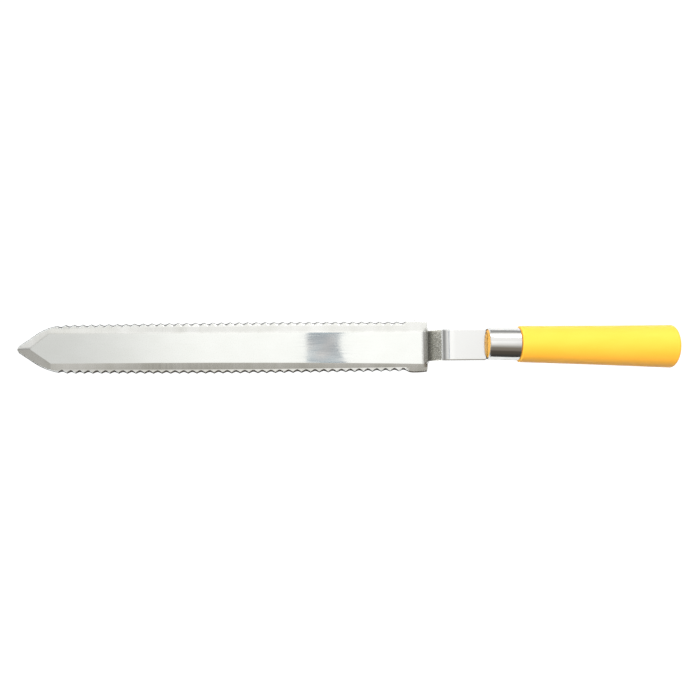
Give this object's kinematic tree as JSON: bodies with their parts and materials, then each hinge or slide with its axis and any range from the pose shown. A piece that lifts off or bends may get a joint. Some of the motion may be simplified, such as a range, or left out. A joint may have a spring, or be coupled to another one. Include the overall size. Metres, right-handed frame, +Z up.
{
  "type": "uncapping knife",
  "caption": "Beekeeper's uncapping knife: flat double-edged serrated blade with a ground point, cranked neck, polished ferrule and round tapered yellow plastic handle.",
  "frame": {"origin": "below the middle of the knife's bounding box, on the plane that the flat back of the blade rests on", "axes": "+X from the point to the butt of the handle, +Y across the blade, +Z up out of the ground side of the blade"},
  "size_m": [0.3999, 0.0322, 0.0301],
  "materials": {
    "blade_steel": "bright polished stainless sheet with ground bevels and fine cross-grind lines",
    "ferrule_steel": "mirror polished stainless tube",
    "handle_plastic": "smooth satin moulded plastic, warm yellow"
  },
  "bodies": {
    "root": {"blade": "blade_steel", "ferrule": "ferrule_steel", "handle": "handle_plastic"}
  },
  "joints": []
}
